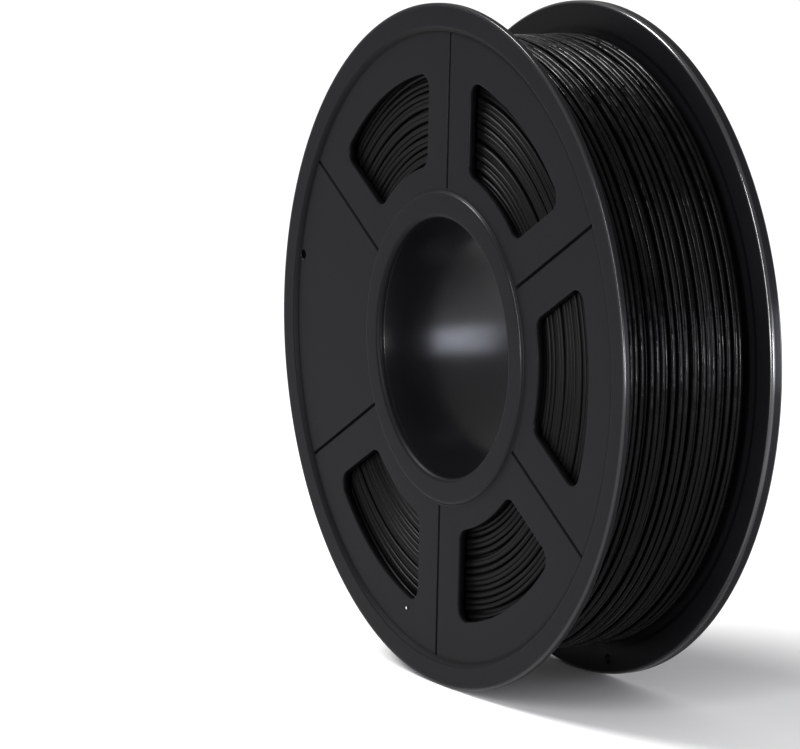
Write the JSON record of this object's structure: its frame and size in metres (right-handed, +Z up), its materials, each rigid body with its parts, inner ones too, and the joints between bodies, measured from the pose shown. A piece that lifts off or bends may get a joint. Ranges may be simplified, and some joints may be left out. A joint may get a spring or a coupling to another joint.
{
  "type": "filament spool",
  "caption": "Two-flange spool with windowed side discs, a wide hub bore and a full winding of black filament.",
  "frame": {"origin": "centre of the spool, on its axis and halfway between the two outer faces", "axes": "+Y along the spool axis from the front flange to the rear flange, +Z up with the spool standing on its rims, +X to the right seen from the front"},
  "size_m": [0.195, 0.05, 0.195],
  "materials": {
    "flange_plastic": "satin",
    "hub_plastic": "smooth, half gloss",
    "filament": "gloss"
  },
  "bodies": {
    "root": {"front_flange": "flange_plastic", "rear_flange": "flange_plastic", "hub_tube": "hub_plastic", "filament_winding": "filament"}
  },
  "joints": []
}
